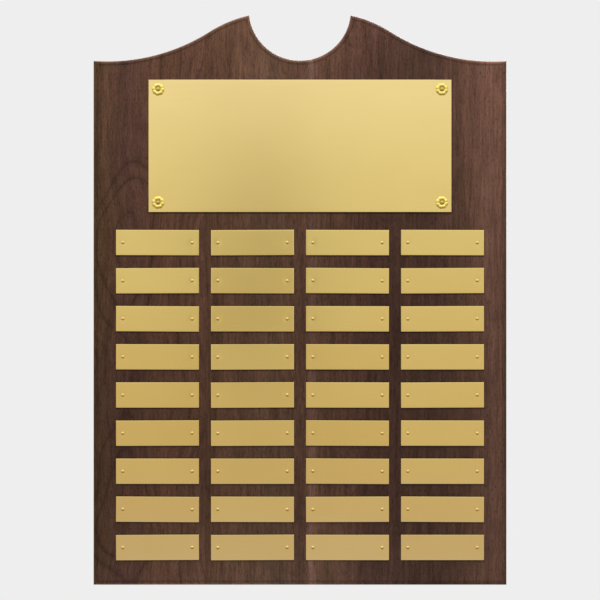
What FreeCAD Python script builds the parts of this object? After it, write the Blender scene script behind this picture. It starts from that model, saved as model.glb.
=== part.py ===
"""Perpetual award plaque, in millimetres.

A walnut board glued up from four upright staves, with a swan-neck top and a half-round notch,
carries a brass title plate held by four rosette nails and a grid of brass name plates, each held
by two escutcheon pins. Two steel keyhole hangers are let into the back.

Frame: +Z up, the board faces -Y, and the origin is the centre of the flat back face.
"""
import FreeCAD, Part
import math
import os
import Sketcher

COLUMNS = 4
ROWS = 9
PETALS = 8
PLANE_TOLERANCE = 1e-4

# Driving sizes. Each one is set here and nowhere else.
SIZES = [
    # the board
    ("board_width", "381"),
    ("board_height", "525.5"),  # bottom edge to the two peaks
    ("board_thickness", "19.05"),
    ("edge_round", "3"),  # eased front edge
    ("shoulder_drop", "42.55"),  # peaks down to the lowest level of the coves
    ("cove_inset", "12.5"),  # side edge in to the lowest point of the cove
    ("turn_rise", "27.35"),  # lowest point of the cove up to where it turns into the crest
    ("crest_span", "36.68"),  # from that turn across to the peak
    ("notch_radius", "47.1"),
    ("notch_rise", "5.3"),  # centre of the notch above the peaks
    # the three glue joints, measured from the centre line
    ("joint_left", "-87.6"),
    ("joint_middle", "5.4"),
    ("joint_right", "96.7"),
    ("saw_margin", "10"),
    # the title plate
    ("title_thickness", "0.8"),
    ("title_height", "122"),
    ("title_side_margin", "51"),
    ("title_notch_gap", "18"),  # notch down to the plate
    ("title_name_gap", "16.4"),  # title plate down to the first row
    ("plate_bevel", "0.2"),
    # the name plates
    ("name_thickness", "0.6"),
    ("side_margin", "21"),
    ("bottom_margin", "23.1"),
    ("column_gap", "11"),
    ("row_gap", "11.7"),
    # escutcheon pins
    ("pin_inset", "6.3"),  # plate end in to the pin
    ("pin_head_diameter", "3.2"),
    ("pin_head_height", "1.1"),
    ("pin_shank_diameter", "1.2"),
    ("pin_length", "12.7"),
    ("point_length", "1.5"),
    ("punch_clearance", "0.2"),  # punched plate hole, on the radius
    ("drive_clearance", "0.02"),  # hole in the wood round a driven shank, on the radius
    ("blind_allowance", "0.5"),  # hole beyond the point of the shank
    # rosettes and their nails
    ("rosette_inset", "8.85"),  # plate edge in to the rosette centre
    ("rosette_diameter", "11.7"),
    ("rosette_head_gap", "0.56"),  # nail head out to the ring, at the seat
    ("rosette_sheet", "0.4"),
    ("rosette_seat_height", "0.6"),
    ("petal_notch_radius", "1.3"),
    ("petal_notch_offset", "0.75"),  # rim out to the centre of the cut between two petals
    ("nail_head_diameter", "4"),
    ("nail_head_height", "1.3"),
    ("nail_shank_diameter", "1.6"),
    ("nail_length", "15.9"),
    # keyhole hangers in the back
    ("hanger_side_inset", "50.8"),  # side edge in to the keyhole
    ("hanger_drop", "90"),  # shoulder level down to the keyhole entry
    ("hanger_width", "18"),
    ("hanger_thickness", "2"),
    ("hanger_set_back", "0.2"),  # hanger below the back face
    ("hanger_clearance", "0.15"),
    ("entry_radius", "5"),
    ("slot_width", "5"),
    ("slot_travel", "11"),  # entry centre up to the centre of the slot's end
    ("head_room", "1"),  # pocket behind the keyhole, wider all round
    ("head_depth", "5"),  # pocket behind the hanger
    ("screw_margin", "6.5"),  # keyhole edge to the screw centre
    ("screw_head_diameter", "5.6"),
    ("screw_head_height", "1.6"),
    ("screw_shank_diameter", "2.8"),
    ("screw_clearance", "0.1"),
    ("screw_length", "12.7"),
    ("screw_point", "3"),
    ("recess_length", "3.2"),
    ("recess_width", "0.8"),
    ("recess_depth", "0.9"),
]

# Derived sizes, as expressions on the sheet.
NAME_WIDTH = f"(sheet.board_width - 2 * sheet.side_margin - {COLUMNS - 1} * sheet.column_gap) / {COLUMNS}"
NOTCH_DEPTH = "(sheet.notch_radius - sheet.notch_rise)"
PEAK_X = "sqrt(pow(sheet.notch_radius; 2) - pow(sheet.notch_rise; 2))"
COVE_SPAN = f"(sheet.board_width / 2 - sheet.cove_inset - sheet.crest_span - {PEAK_X})"
COVE_RADIUS = f"((pow({COVE_SPAN}; 2) + pow(sheet.turn_rise; 2)) / (2 * sheet.turn_rise))"
TITLE_TOP = f"(sheet.board_height / 2 - {NOTCH_DEPTH} - sheet.title_notch_gap)"
TITLE_WIDTH = "(sheet.board_width - 2 * sheet.title_side_margin)"
TITLE_CENTRE = f"({TITLE_TOP} - sheet.title_height / 2)"
NAMES_TOP = f"({TITLE_TOP} - sheet.title_height - sheet.title_name_gap)"
NAMES_BOTTOM = "(sheet.bottom_margin - sheet.board_height / 2)"
NAME_HEIGHT = f"(({NAMES_TOP} - {NAMES_BOTTOM} - {ROWS - 1} * sheet.row_gap) / {ROWS})"
COLUMN_PITCH = f"(({NAME_WIDTH}) + sheet.column_gap)"
ROW_PITCH = f"({NAME_HEIGHT} + sheet.row_gap)"
FIRST_COLUMN = f"(sheet.side_margin + ({NAME_WIDTH}) / 2 - sheet.board_width / 2)"
LAST_ROW = f"({NAMES_BOTTOM} + {NAME_HEIGHT} / 2)"
PIN_SPACING = f"(({NAME_WIDTH}) - 2 * sheet.pin_inset)"
ROSETTE_X = f"({TITLE_WIDTH} / 2 - sheet.rosette_inset)"
ROSETTE_Z = "(sheet.title_height / 2 - sheet.rosette_inset)"
RING_WIDTH = "(sheet.rosette_diameter / 2 - sheet.nail_head_diameter / 2 - sheet.rosette_head_gap)"
RING_HEIGHT = f"(({RING_WIDTH} * {RING_WIDTH} + pow(sheet.rosette_seat_height; 2)) / (2 * {RING_WIDTH}))"
SEAT_LEVEL = "(sheet.board_thickness + sheet.title_thickness + sheet.rosette_seat_height)"
HANGER_X = "(sheet.board_width / 2 - sheet.hanger_side_inset)"
HANGER_Z = "(sheet.board_height / 2 - sheet.shoulder_drop - sheet.hanger_drop)"
SCREW_BELOW = "(sheet.entry_radius + sheet.screw_margin)"
SCREW_ABOVE = "(sheet.slot_travel + sheet.slot_width / 2 + sheet.screw_margin)"

# The points of a sketched curve, by Sketcher's own numbering, and its two fixed axes.
START = 1
END = 2
CENTRE = 3
ORIGIN = (-1, START)
ACROSS_AXIS = -1
UPRIGHT_AXIS = -2

doc = FreeCAD.newDocument("award_plaque")
sheet = doc.addObject("Spreadsheet::Sheet", "sheet")
for number, (alias, text) in enumerate(SIZES, start=1):
    sheet.set(f"A{number}", text)
    sheet.setAlias(f"A{number}", alias)
doc.recompute()
pieces = []


def value(expression):
    """The present number of an expression on the sheet."""
    return float(sheet.evalExpression(expression))


def named_body(label, across="0", outward="0", upright="0"):
    """An empty body for one piece, its origin placed by three expressions."""
    body = doc.addObject("PartDesign::Body", label)
    body.Label = label
    body.setExpression("Placement.Base.x", across)
    body.setExpression("Placement.Base.y", outward)
    body.setExpression("Placement.Base.z", upright)
    return body


def origin_feature(body, role):
    """One of the body's own planes or axes."""
    return next(part for part in body.Origin.OriginFeatures if part.Role == role)


def new_sketch(body, name, plane="XZ_Plane", depth="0"):
    """A sketch on one of the body's planes, lifted off it along the plane's normal."""
    sketch = body.newObject("Sketcher::SketchObject", name)
    sketch.AttachmentSupport = [(origin_feature(body, plane), "")]
    sketch.MapMode = "FlatFace"
    sketch.setExpression("AttachmentOffset.Base.z", depth)
    return sketch


def dimension(sketch, kind, places, name, expression):
    """A driving dimension of the sketch, bound to the sheet."""
    constraint = Sketcher.Constraint(kind, *places, value(expression))
    index = sketch.addConstraint(constraint)
    sketch.renameConstraint(index, name)
    sketch.setExpression("Constraints." + name, expression)


def place_point(sketch, curve, point, name, across, upright):
    """Fix one point of a curve at two signed distances from the sketch's origin."""
    if across == "0":
        sketch.addConstraint(Sketcher.Constraint("PointOnObject", curve, point, UPRIGHT_AXIS))
    else:
        dimension(sketch, "DistanceX", (*ORIGIN, curve, point), name + "_across", across)
    if upright == "0":
        sketch.addConstraint(Sketcher.Constraint("PointOnObject", curve, point, ACROSS_AXIS))
    else:
        dimension(sketch, "DistanceY", (*ORIGIN, curve, point), name + "_upright", upright)


def add_line(sketch, start, end):
    """A line between two points given in the sketch's plane."""
    return sketch.addGeometry(Part.LineSegment(FreeCAD.Vector(*start), FreeCAD.Vector(*end)), False)


def add_arc(sketch, centre, radius, first, last):
    """An arc, anticlockwise between two angles in radians."""
    circle = Part.Circle(FreeCAD.Vector(*centre), FreeCAD.Vector(0, 0, 1), radius)
    return sketch.addGeometry(Part.ArcOfCircle(circle, first, last), False)


def polygon(sketch, corners):
    """A closed outline of straight lines through corners given as (across, upright) expressions."""
    places = [(value(across), value(upright), 0) for across, upright in corners]
    lines = [add_line(sketch, places[number - 1], place) for number, place in enumerate(places)]
    for number, line in enumerate(lines):
        following = lines[(number + 1) % len(lines)]
        sketch.addConstraint(Sketcher.Constraint("Coincident", line, END, following, START))
        place_point(sketch, line, END, f"corner_{number}", *corners[number])


def rectangle(sketch, width, height):
    """A rectangle centred on the sketch's origin."""
    right = f"({width}) / 2"
    left = f"-({width}) / 2"
    top = f"({height}) / 2"
    bottom = f"-({height}) / 2"
    polygon(sketch, [(left, bottom), (right, bottom), (right, top), (left, top)])


def circle(sketch, name, radius, across="0", upright="0"):
    """A circle placed by expressions."""
    centre = FreeCAD.Vector(value(across), value(upright), 0)
    curve = sketch.addGeometry(Part.Circle(centre, FreeCAD.Vector(0, 0, 1), value(radius)), False)
    dimension(sketch, "Radius", (curve,), name + "_radius", radius)
    place_point(sketch, curve, CENTRE, name, across, upright)


def round_ended(sketch, radius, low, high, across="0"):
    """An upright outline with two half-round ends, given by the levels of their centres."""
    place = value(across)
    reach = value(radius)
    bottom = value(low)
    top = value(high)
    upper = add_arc(sketch, (place, top, 0), reach, 0, math.pi)
    left = add_line(sketch, (place - reach, top, 0), (place - reach, bottom, 0))
    lower = add_arc(sketch, (place, bottom, 0), reach, math.pi, 2 * math.pi)
    right = add_line(sketch, (place + reach, bottom, 0), (place + reach, top, 0))
    loop = [upper, left, lower, right]
    for number, curve in enumerate(loop):
        following = loop[(number + 1) % len(loop)]
        sketch.addConstraint(Sketcher.Constraint("Tangent", curve, END, following, START))
    sketch.addConstraint(Sketcher.Constraint("Equal", upper, lower))
    dimension(sketch, "Radius", (upper,), "end_radius", radius)
    place_point(sketch, upper, CENTRE, "upper_end", across, high)
    place_point(sketch, lower, CENTRE, "lower_end", across, low)


def add_feature(body, kind, name, sketch, **sizes):
    """A pad, pocket, revolution or groove of a sketch, its sizes bound to the sheet."""
    feature = body.newObject("PartDesign::" + kind, name)
    feature.Profile = sketch
    for size, expression in sizes.items():
        feature.setExpression(size, expression)
    return feature


def bind_pattern(pattern, direction, length, count, second=""):
    """Set one direction of a linear pattern."""
    setattr(pattern, "Direction" + second, (direction, [""]))
    setattr(pattern, "Occurrences" + second, count)
    pattern.setExpression("Length" + second, length)


def grid(body, name, originals, across, across_count, upright, upright_count):
    """Repeat features in rows and columns; the lengths run from the first copy to the last."""
    pattern = body.newObject("PartDesign::LinearPattern", name)
    pattern.Originals = originals
    bind_pattern(pattern, origin_feature(body, "X_Axis"), across, across_count)
    bind_pattern(pattern, origin_feature(body, "Z_Axis"), upright, upright_count, "2")
    body.Tip = pattern
    return pattern


def require_cut(feature, before):
    """Rebuild, and stop if the feature takes nothing away from what came before it."""
    doc.recompute()
    if feature.Shape.Volume >= before.Shape.Volume - PLANE_TOLERANCE:
        raise ValueError(feature.Name + " cuts nothing")


def front_edges(feature, level, curve_types=("Part::GeomCircle", "Part::GeomLine")):
    """Names of a feature's edges that lie in the plane at this level in front of its origin."""
    names = []
    for number, edge in enumerate(feature.Shape.Edges, start=1):
        box = edge.BoundBox
        flat = abs(box.YMin + level) < PLANE_TOLERANCE and abs(box.YMax + level) < PLANE_TOLERANCE
        if flat and edge.Curve.TypeId in curve_types:
            names.append(f"Edge{number}")
    return names


# ---- the board, glued up, sawn to its outline, eased and drilled in one piece ----

def crest_arc(turn, cove_centre, peak):
    """Centre and radius of the arc that leaves the cove at its turn, tangent, and ends at the peak."""
    outward = (turn - cove_centre).normalize()
    chord = peak - turn
    radius = chord.dot(chord) / (2 * chord.dot(outward))
    return turn + outward * radius, radius


def draw_board_outline(sketch):
    """Straight foot and sides, two coves, two crests and the notch, the same on both sides."""
    half_width = value("sheet.board_width / 2")
    half_height = value("sheet.board_height / 2")
    cove_radius = value(COVE_RADIUS)
    notch_radius = value("sheet.notch_radius")
    notch_rise = value("sheet.notch_rise")
    cove_x = half_width - value("sheet.cove_inset")
    cove_z = half_height - value("sheet.shoulder_drop") + cove_radius
    peak = FreeCAD.Vector(value(PEAK_X), half_height, 0)
    turn_z = cove_z - cove_radius + value("sheet.turn_rise")
    turn = FreeCAD.Vector(peak.x + value("sheet.crest_span"), turn_z, 0)
    crest, crest_radius = crest_arc(turn, FreeCAD.Vector(cove_x, cove_z, 0), peak)
    shoulder = cove_z - math.sqrt(cove_radius**2 - (half_width - cove_x) ** 2)
    shoulder_angle = math.atan2(shoulder - cove_z, half_width - cove_x)
    turn_angle = math.atan2(turn.y - crest.y, turn.x - crest.x)
    peak_angle = math.atan2(peak.y - crest.y, peak.x - crest.x)
    notch_angle = math.atan2(-notch_rise, peak.x)

    foot = add_line(sketch, (-half_width, -half_height, 0), (half_width, -half_height, 0))
    right = add_line(sketch, (half_width, -half_height, 0), (half_width, shoulder, 0))
    right_cove = add_arc(sketch, (cove_x, cove_z, 0), cove_radius, turn_angle - math.pi, shoulder_angle)
    right_crest = add_arc(sketch, (crest.x, crest.y, 0), crest_radius, turn_angle, peak_angle)
    notch_centre = (0, half_height + notch_rise, 0)
    notch = add_arc(sketch, notch_centre, notch_radius, math.pi - notch_angle, 2 * math.pi + notch_angle)
    left_crest_centre = (-crest.x, crest.y, 0)
    left_crest = add_arc(sketch, left_crest_centre, crest_radius, math.pi - peak_angle, math.pi - turn_angle)
    left_cove_centre = (-cove_x, cove_z, 0)
    left_cove = add_arc(sketch, left_cove_centre, cove_radius, math.pi - shoulder_angle, -turn_angle)
    left = add_line(sketch, (-half_width, shoulder, 0), (-half_width, -half_height, 0))

    add = sketch.addConstraint
    add(Sketcher.Constraint("Coincident", foot, END, right, START))
    add(Sketcher.Constraint("Coincident", right, END, right_cove, END))
    add(Sketcher.Constraint("Tangent", right_cove, START, right_crest, START))
    add(Sketcher.Constraint("Coincident", right_crest, END, notch, END))
    add(Sketcher.Constraint("Coincident", notch, START, left_crest, START))
    add(Sketcher.Constraint("Tangent", left_crest, END, left_cove, END))
    add(Sketcher.Constraint("Coincident", left_cove, START, left, START))
    add(Sketcher.Constraint("Coincident", left, END, foot, START))
    add(Sketcher.Constraint("Vertical", right))
    add(Sketcher.Constraint("Vertical", left))
    add(Sketcher.Constraint("PointOnObject", notch, CENTRE, UPRIGHT_AXIS))
    add(Sketcher.Constraint("Symmetric", foot, START, foot, END, UPRIGHT_AXIS))
    add(Sketcher.Constraint("Symmetric", right_cove, CENTRE, left_cove, CENTRE, UPRIGHT_AXIS))
    add(Sketcher.Constraint("Symmetric", right_crest, CENTRE, left_crest, CENTRE, UPRIGHT_AXIS))
    add(Sketcher.Constraint("Equal", right_crest, left_crest))
    dimension(sketch, "DistanceX", (foot, START, foot, END), "width", "sheet.board_width")
    dimension(sketch, "DistanceY", (foot, START, *ORIGIN), "foot_drop", "sheet.board_height / 2")
    dimension(sketch, "DistanceY", (*ORIGIN, notch, END), "peak_height", "sheet.board_height / 2")
    dimension(sketch, "DistanceY", (notch, END, notch, CENTRE), "notch_rise", "sheet.notch_rise")
    dimension(sketch, "Radius", (notch,), "notch_radius", "sheet.notch_radius")
    dimension(sketch, "Radius", (right_cove,), "cove_radius", COVE_RADIUS)
    dimension(sketch, "DistanceX", (notch, END, right_cove, START), "crest_span", "sheet.crest_span")
    dimension(sketch, "DistanceX", (right_cove, CENTRE, foot, END), "cove_inset", "sheet.cove_inset")
    cove_level = f"{COVE_RADIUS} - sheet.shoulder_drop"
    dimension(sketch, "DistanceY", (notch, END, right_cove, CENTRE), "cove_level", cove_level)


def drill_plate_holes(board):
    """Blind holes in the front for the escutcheon pins and the four rosette nails."""
    pin_radius = "sheet.pin_shank_diameter / 2 + sheet.drive_clearance"
    left_pin = f"{FIRST_COLUMN} - {PIN_SPACING} / 2"
    right_pin = f"{FIRST_COLUMN} + {PIN_SPACING} / 2"
    sketch = new_sketch(board, "pin_hole_sketch", depth="sheet.board_thickness")
    circle(sketch, "left_pin", pin_radius, left_pin, LAST_ROW)
    circle(sketch, "right_pin", pin_radius, right_pin, LAST_ROW)
    before = board.Tip
    depth = "sheet.pin_length - sheet.name_thickness + sheet.blind_allowance"
    pair = add_feature(board, "Pocket", "pin_holes", sketch, Length=depth)
    require_cut(pair, before)
    across = f"{COLUMNS - 1} * {COLUMN_PITCH}"
    upright = f"{ROWS - 1} * {ROW_PITCH}"
    rows = grid(board, "pin_hole_grid", [pair], across, COLUMNS, upright, ROWS)
    require_cut(rows, pair)

    nail_radius = "sheet.nail_shank_diameter / 2 + sheet.drive_clearance"
    sketch = new_sketch(board, "nail_hole_sketch", depth="sheet.board_thickness")
    circle(sketch, "nail", nail_radius, f"-{ROSETTE_X}", f"{TITLE_CENTRE} - {ROSETTE_Z}")
    depth = "sheet.nail_length - sheet.title_thickness - sheet.rosette_seat_height + sheet.blind_allowance"
    nail_hole = add_feature(board, "Pocket", "nail_hole", sketch, Length=depth)
    require_cut(nail_hole, rows)
    corners = grid(board, "nail_hole_grid", [nail_hole], f"2 * {ROSETTE_X}", 2, f"2 * {ROSETTE_Z}", 2)
    require_cut(corners, nail_hole)


def rout_hanger_seats(board):
    """In the back: the recess for each hanger, the pocket behind its keyhole and two pilot holes."""
    recess_radius = "sheet.hanger_width / 2 + sheet.hanger_clearance"
    recess_depth = "sheet.hanger_thickness + sheet.hanger_set_back"
    sketch = new_sketch(board, "hanger_recess_sketch")
    low = f"{HANGER_Z} - {SCREW_BELOW}"
    high = f"{HANGER_Z} + {SCREW_ABOVE}"
    round_ended(sketch, recess_radius, low, high, HANGER_X)
    before = board.Tip
    recess = add_feature(board, "Pocket", "hanger_recess", sketch, Length=recess_depth)
    recess.Reversed = True
    require_cut(recess, before)

    pocket_radius = "sheet.entry_radius + sheet.head_room"
    sketch = new_sketch(board, "head_pocket_sketch")
    round_ended(sketch, pocket_radius, HANGER_Z, f"{HANGER_Z} + sheet.slot_travel", HANGER_X)
    pocket = add_feature(board, "Pocket", "head_pocket", sketch, Length=f"{recess_depth} + sheet.head_depth")
    pocket.Reversed = True
    require_cut(pocket, recess)

    pilot_radius = "sheet.screw_shank_diameter / 2 + sheet.drive_clearance"
    sketch = new_sketch(board, "screw_pilot_sketch")
    circle(sketch, "lower_screw", pilot_radius, HANGER_X, low)
    circle(sketch, "upper_screw", pilot_radius, HANGER_X, high)
    pilot_depth = "sheet.hanger_set_back + sheet.screw_length + sheet.blind_allowance"
    pilots = add_feature(board, "Pocket", "screw_pilots", sketch, Length=pilot_depth)
    pilots.Reversed = True
    require_cut(pilots, pocket)

    mirrored = board.newObject("PartDesign::Mirrored", "left_hanger_seat")
    mirrored.Originals = [recess, pocket, pilots]
    mirrored.MirrorPlane = (origin_feature(board, "YZ_Plane"), [""])
    board.Tip = mirrored
    require_cut(mirrored, pilots)


def make_board():
    """The whole board before it is divided at its glue joints."""
    board = named_body("board_blank")
    sketch = new_sketch(board, "board_outline")
    draw_board_outline(sketch)
    blank = add_feature(board, "Pad", "board_pad", sketch, Length="sheet.board_thickness")
    doc.recompute()
    before = blank
    for name, curve_type in (("eased_curves", "Part::GeomCircle"), ("eased_straights", "Part::GeomLine")):
        eased = board.newObject("PartDesign::Fillet", name)
        eased.Base = (before, front_edges(before, value("sheet.board_thickness"), (curve_type,)))
        eased.setExpression("Radius", "sheet.edge_round")
        require_cut(eased, before)
        before = eased
    drill_plate_holes(board)
    rout_hanger_seats(board)
    return board


def make_stave(label, board, left, right):
    """The strip of the board between two upright planes."""
    strip = doc.addObject("Part::Box", label + "_strip")
    strip.setExpression("Length", f"{right} - ({left})")
    strip.setExpression("Width", "sheet.board_thickness + 2 * sheet.saw_margin")
    strip.setExpression("Height", "sheet.board_height + 2 * sheet.saw_margin")
    strip.setExpression("Placement.Base.x", left)
    strip.setExpression("Placement.Base.y", "-sheet.board_thickness - sheet.saw_margin")
    strip.setExpression("Placement.Base.z", "-sheet.board_height / 2 - sheet.saw_margin")
    stave = doc.addObject("Part::Common", label)
    stave.Base = board
    stave.Tool = strip
    stave.Label = label
    pieces.append(stave)


# ---- brass plates ----

def make_plate(label, width, height, thickness, holes, across, upright):
    """A sheared plate with bevelled front edges and punched holes given as (x, z, radius)."""
    plate = named_body(label, across, "-sheet.board_thickness", upright)
    sketch = new_sketch(plate, label + "_outline")
    rectangle(sketch, width, height)
    blank = add_feature(plate, "Pad", label + "_pad", sketch, Length=thickness)
    doc.recompute()
    bevel = plate.newObject("PartDesign::Chamfer", label + "_bevel")
    bevel.Base = (blank, front_edges(blank, value(thickness)))
    bevel.setExpression("Size", "sheet.plate_bevel")
    require_cut(bevel, blank)
    sketch = new_sketch(plate, label + "_hole_sketch", depth=thickness)
    for number, (hole_x, hole_z, radius) in enumerate(holes):
        circle(sketch, f"hole_{number}", radius, hole_x, hole_z)
    punched = add_feature(plate, "Pocket", label + "_holes", sketch, Length=thickness)
    require_cut(punched, bevel)
    pieces.append(plate)


def make_title_plate():
    radius = "sheet.nail_shank_diameter / 2 + sheet.punch_clearance"
    holes = [
        (f"{side}{ROSETTE_X}", f"{level}{ROSETTE_Z}", radius)
        for side in ("-", "")
        for level in ("-", "")
    ]
    make_plate(
        "title_plate", TITLE_WIDTH, "sheet.title_height", "sheet.title_thickness", holes, "0", TITLE_CENTRE
    )


def make_name_plates():
    radius = "sheet.pin_shank_diameter / 2 + sheet.punch_clearance"
    holes = [(f"{side}{PIN_SPACING} / 2", "0", radius) for side in ("-", "")]
    for row in range(1, ROWS + 1):
        for column in range(1, COLUMNS + 1):
            across = f"{FIRST_COLUMN} + {column - 1} * {COLUMN_PITCH}"
            upright = f"{LAST_ROW} + {ROWS - row} * {ROW_PITCH}"
            label = f"name_plate_row_{row}_column_{column}"
            make_plate(label, NAME_WIDTH, NAME_HEIGHT, "sheet.name_thickness", holes, across, upright)


# ---- driven fasteners ----

def make_driven_fastener(body, name, head_radius, head_height, shank_radius, length):
    """A domed head in front of the origin and a pointed shank behind it, turned about Y."""
    dome_height = value(head_height)
    dome_radius = (value(head_radius) ** 2 + dome_height**2) / (2 * dome_height)
    dome_centre = dome_radius - dome_height
    rim_angle = math.atan2(-dome_centre, value(head_radius))
    places = [
        (value(head_radius), 0, 0),
        (value(shank_radius), 0, 0),
        (value(shank_radius), value(f"{length} - sheet.point_length"), 0),
        (0, value(length), 0),
        (0, -dome_height, 0),
    ]
    sketch = new_sketch(body, name + "_profile", "XY_Plane")
    dome = add_arc(sketch, (0, dome_centre, 0), dome_radius, -math.pi / 2, rim_angle)
    lines = [add_line(sketch, places[number], places[number + 1]) for number in range(4)]
    under_head, shank, point, axis = lines
    loop = [dome, under_head, shank, point, axis]
    for number, curve in enumerate(loop):
        following = loop[(number + 1) % len(loop)]
        sketch.addConstraint(Sketcher.Constraint("Coincident", curve, END, following, START))
    sketch.addConstraint(Sketcher.Constraint("PointOnObject", dome, CENTRE, UPRIGHT_AXIS))
    place_point(sketch, dome, END, "head_rim", head_radius, "0")
    place_point(sketch, dome, START, "head_top", "0", f"-{head_height}")
    place_point(sketch, under_head, END, "shank_top", shank_radius, "0")
    place_point(sketch, shank, END, "shank_end", shank_radius, f"{length} - sheet.point_length")
    place_point(sketch, point, END, "tip", "0", length)
    turned = add_feature(body, "Revolution", name + "_turned", sketch)
    turned.ReferenceAxis = (sketch, ["V_Axis"])
    turned.Angle = 360
    doc.recompute()
    return turned


def make_name_plate_pins():
    """The pins of one column of name plates: two to a plate, each a separate solid."""
    for column in range(1, COLUMNS + 1):
        across = f"{FIRST_COLUMN} + {column - 1} * {COLUMN_PITCH} - {PIN_SPACING} / 2"
        label = f"name_plate_pins_column_{column}"
        pins = named_body(label, across, "-sheet.board_thickness - sheet.name_thickness", LAST_ROW)
        pin = make_driven_fastener(
            pins,
            f"pin_{column}",
            "sheet.pin_head_diameter / 2",
            "sheet.pin_head_height",
            "sheet.pin_shank_diameter / 2",
            "sheet.pin_length",
        )
        grid(pins, f"pin_grid_{column}", [pin], PIN_SPACING, 2, f"{ROWS - 1} * {ROW_PITCH}", ROWS)
        pieces.append(pins)


def make_rosette_nails():
    nails = named_body("rosette_nails", f"-{ROSETTE_X}", f"-{SEAT_LEVEL}", f"{TITLE_CENTRE} - {ROSETTE_Z}")
    nail = make_driven_fastener(
        nails,
        "nail",
        "sheet.nail_head_diameter / 2",
        "sheet.nail_head_height",
        "sheet.nail_shank_diameter / 2",
        "sheet.nail_length",
    )
    grid(nails, "nail_grid", [nail], f"2 * {ROSETTE_X}", 2, f"2 * {ROSETTE_Z}", 2)
    pieces.append(nails)


# ---- rosettes ----

def make_rosette(label, across, upright):
    """A stamped ring with petals, a flat seat for the nail's head and a hollow underside."""
    level = "-sheet.board_thickness - sheet.title_thickness"
    rosette = named_body(label, across, level, upright)
    ring_centre = f"(sheet.rosette_diameter / 2 - {RING_HEIGHT})"
    ring_x = value(ring_centre)
    ring_radius = value(RING_HEIGHT)
    seat_height = value("sheet.rosette_seat_height")
    hole_radius = "sheet.nail_shank_diameter / 2 + sheet.punch_clearance"
    seat_x = ring_x - math.sqrt(ring_radius**2 - seat_height**2)
    seat_angle = math.atan2(-seat_height, seat_x - ring_x)
    places = [
        (seat_x, -seat_height, 0),
        (value(hole_radius), -seat_height, 0),
        (value(hole_radius), 0, 0),
        (ring_x + ring_radius, 0, 0),
    ]
    sketch = new_sketch(rosette, label + "_profile", "XY_Plane")
    crown = add_arc(sketch, (ring_x, 0, 0), ring_radius, seat_angle, 0)
    hole = add_line(sketch, places[2], places[1])
    seat = add_line(sketch, places[1], places[0])
    base = add_line(sketch, places[3], places[2])
    add = sketch.addConstraint
    add(Sketcher.Constraint("Coincident", seat, END, crown, START))
    add(Sketcher.Constraint("Coincident", crown, END, base, START))
    add(Sketcher.Constraint("Coincident", base, END, hole, START))
    add(Sketcher.Constraint("Coincident", hole, END, seat, START))
    add(Sketcher.Constraint("Horizontal", seat))
    dimension(sketch, "Radius", (crown,), "ring_radius", RING_HEIGHT)
    place_point(sketch, crown, CENTRE, "ring_centre", ring_centre, "0")
    place_point(sketch, base, END, "hole_foot", hole_radius, "0")
    place_point(sketch, hole, END, "hole_top", hole_radius, "-sheet.rosette_seat_height")
    add(Sketcher.Constraint("PointOnObject", crown, END, ACROSS_AXIS))
    solid = add_feature(rosette, "Revolution", label + "_solid", sketch)
    solid.ReferenceAxis = (sketch, ["V_Axis"])
    solid.Angle = 360
    doc.recompute()

    sketch = new_sketch(rosette, label + "_hollow_profile", "XY_Plane")
    circle(sketch, "hollow", f"{RING_HEIGHT} - sheet.rosette_sheet", ring_centre, "0")
    hollow = add_feature(rosette, "Groove", label + "_hollow", sketch)
    hollow.ReferenceAxis = (sketch, ["V_Axis"])
    hollow.Angle = 360
    require_cut(hollow, solid)

    sketch = new_sketch(rosette, label + "_petal_sketch", depth=RING_HEIGHT)
    notch_centre = "sheet.rosette_diameter / 2 + sheet.petal_notch_offset"
    circle(sketch, "petal_notch", "sheet.petal_notch_radius", notch_centre)
    notch = add_feature(rosette, "Pocket", label + "_petal_notch", sketch, Length=RING_HEIGHT)
    require_cut(notch, hollow)
    petals = rosette.newObject("PartDesign::PolarPattern", label + "_petals")
    petals.Originals = [notch]
    petals.Axis = (origin_feature(rosette, "Y_Axis"), [""])
    petals.Angle = 360
    petals.Occurrences = PETALS
    rosette.Tip = petals
    require_cut(petals, notch)
    pieces.append(rosette)


def make_rosettes():
    for side, across in (("left", f"-{ROSETTE_X}"), ("right", ROSETTE_X)):
        make_rosette("rosette_top_" + side, across, f"{TITLE_CENTRE} + {ROSETTE_Z}")
        make_rosette("rosette_bottom_" + side, across, f"{TITLE_CENTRE} - {ROSETTE_Z}")


# ---- keyhole hangers and their screws ----

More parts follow.
